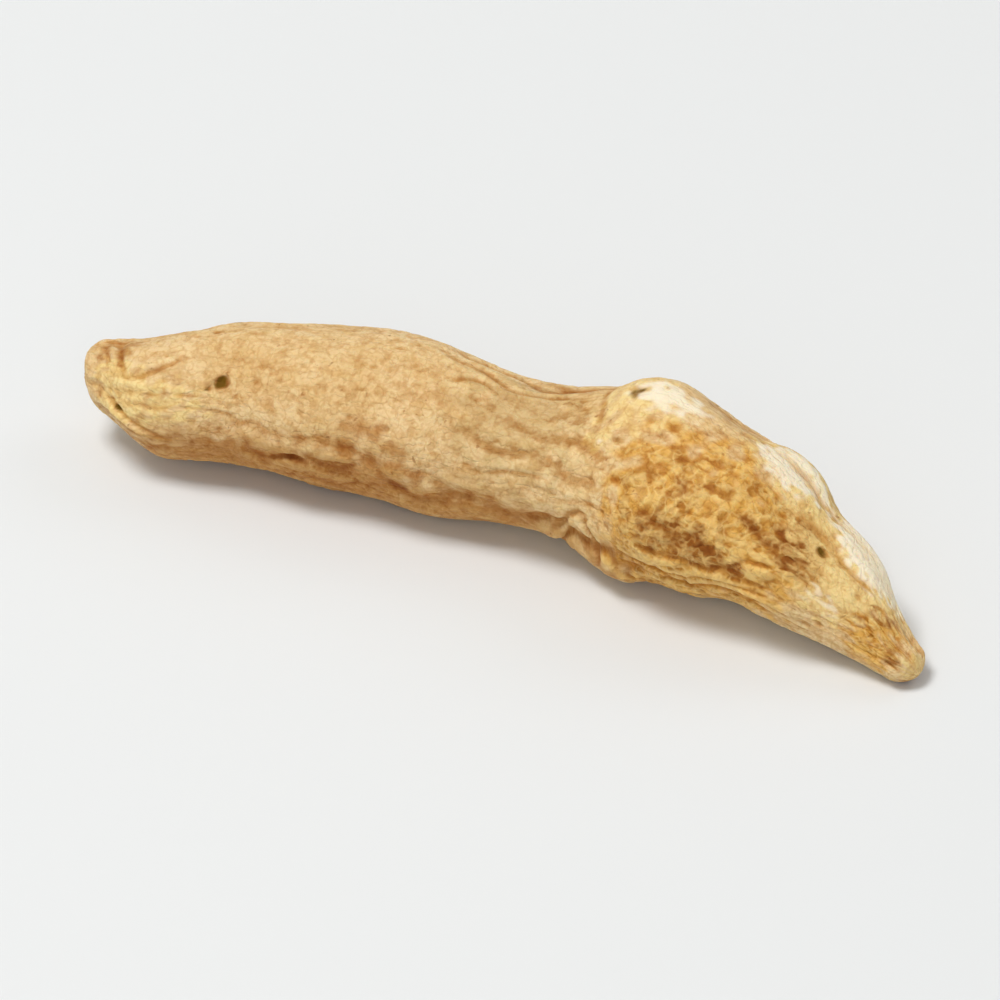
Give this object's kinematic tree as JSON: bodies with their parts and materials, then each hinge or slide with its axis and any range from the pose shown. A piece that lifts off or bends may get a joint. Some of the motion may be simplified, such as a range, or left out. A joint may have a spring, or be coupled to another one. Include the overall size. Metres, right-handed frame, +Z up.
{
  "type": "ophiopogon tuber",
  "caption": "Dried ophiopogon tuber: a small bent spindle of wrinkled, yellow-brown, slightly translucent root, blunt at the stem end and tapering to a thin tip, lying on its side.",
  "frame": {"origin": "on the surface that the tuber lies on, under the middle of its bounding box", "axes": "+X along its length, from the blunt stem end to the thin tip; +Z up; the hollow side of its bend faces -Y"},
  "size_m": [0.028, 0.0074, 0.0056],
  "materials": {
    "skin": "dried root skin, fine lengthwise wrinkles, low waxy sheen"
  },
  "bodies": {
    "root": {"tuber": "skin"}
  },
  "joints": []
}
